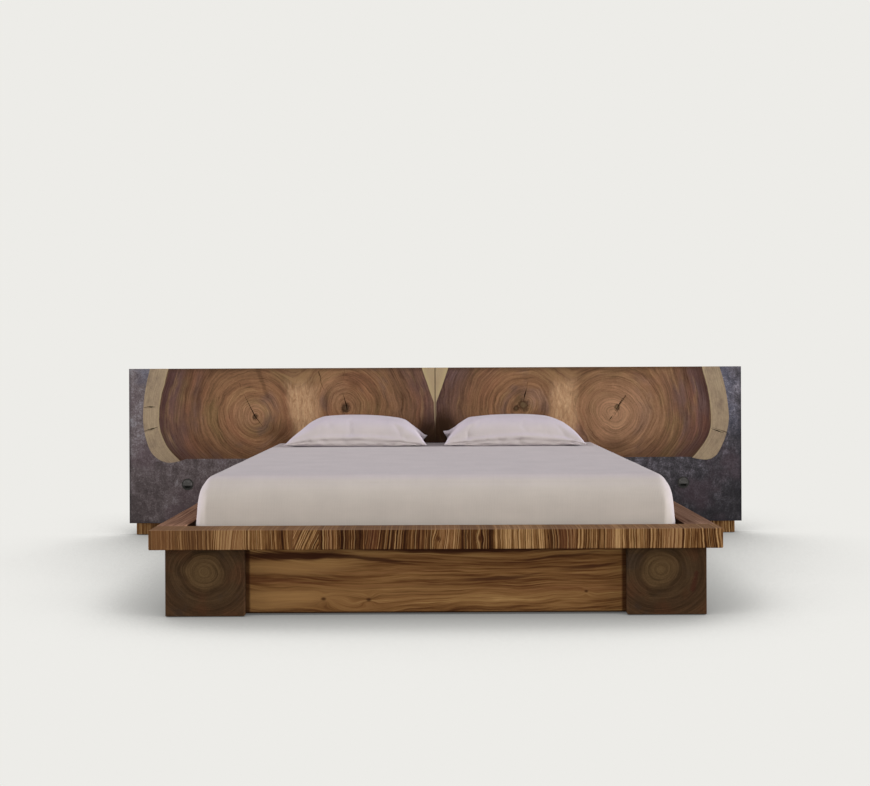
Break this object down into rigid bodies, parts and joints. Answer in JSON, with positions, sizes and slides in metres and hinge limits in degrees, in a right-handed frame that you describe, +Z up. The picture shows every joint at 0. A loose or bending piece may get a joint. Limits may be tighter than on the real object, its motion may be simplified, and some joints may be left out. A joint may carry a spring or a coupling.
{
  "type": "platform bed",
  "caption": "King platform bed on squared log legs, with a wide headboard of inlaid log slabs in dark patinated sheet, a made-up mattress and pillows.",
  "frame": {"origin": "on the floor under the middle of the bed's bounding box", "axes": "+X across the bed to the right seen from the foot, +Y from the foot to the headboard, +Z up"},
  "size_m": [3.6, 2.272, 0.979],
  "materials": {
    "striped_wood": "satin",
    "rail_wood": "satin",
    "leg_wood": "satin",
    "board_wood": "satin",
    "support_wood": "matte",
    "slab_wood": "satin",
    "core_board": "matte",
    "dark_patina": "matte",
    "frame_wood": "satin",
    "zinc_steel": "satin",
    "grommet_bronze": "satin",
    "felt": "matte",
    "mattress_fabric": "matte",
    "bed_linen": "matte"
  },
  "bodies": {
    "bed": {"foot_rail": "striped_wood", "plinth_left": "striped_wood", "plinth_right": "striped_wood", "side_rail_left": "rail_wood", "side_rail_right": "rail_wood", "log_leg_front_left": "leg_wood", "log_leg_front_right": "leg_wood", "log_leg_rear_left": "leg_wood", "log_leg_rear_right": "leg_wood", "kick_board_front": "board_wood", "kick_board_rear": "board_wood", "kick_board_left": "board_wood", "kick_board_right": "board_wood", "side_cleat_left": "support_wood", "side_cleat_right": "support_wood", "leg_cleats": "support_wood", "centre_beam": "support_wood", "centre_leg_front": "support_wood", "centre_leg_middle": "support_wood", "centre_leg_rear": "support_wood", "slats_long": "support_wood", "slats_short": "support_wood", "rim_dowels": "support_wood", "log_slab_left": "slab_wood", "log_slab_right": "slab_wood", "headboard_core_left": "core_board", "headboard_core_right": "core_board", "patina_sheet_left": "dark_patina", "patina_sheet_right": "dark_patina", "headboard_top_rail_left": "frame_wood", "headboard_top_rail_right": "frame_wood", "headboard_bottom_rail_left": "frame_wood", "headboard_bottom_rail_right": "frame_wood", "headboard_end_stile_left": "frame_wood", "headboard_end_stile_right": "frame_wood", "headboard_mid_stile_left": "frame_wood", "headboard_mid_stile_right": "frame_wood", "headboard_seam_stile_left": "frame_wood", "headboard_seam_stile_right": "frame_wood", "beam_hangers": "zinc_steel", "slat_screws": "zinc_steel", "plinth_screws": "zinc_steel", "seam_bolts": "zinc_steel", "seam_nuts": "zinc_steel", "seam_washers": "zinc_steel", "headboard_bolts": "zinc_steel", "headboard_washers": "zinc_steel", "grommet_liner_left": "grommet_bronze", "grommet_liner_right": "grommet_bronze", "leg_glides": "felt", "plinth_glides": "felt", "centre_leg_glides": "felt", "mattress": "mattress_fabric", "bed_sheet": "bed_linen", "pillow_left": "bed_linen", "pillow_right": "bed_linen"},
    "cap_left": {"grommet_cap_left": "grommet_bronze"},
    "cap_right": {"grommet_cap_right": "grommet_bronze"}
  },
  "joints": [
    {"name": "left_cap_turn", "type": "hinge", "parent": "bed", "child": "cap_left", "pos_m": [-1.458, 1.064, 0.298], "axis": [0, 1, 0], "continuous": true},
    {"name": "right_cap_turn", "type": "hinge", "parent": "bed", "child": "cap_right", "pos_m": [1.458, 1.064, 0.298], "axis": [0, 1, 0], "continuous": true}
  ]
}
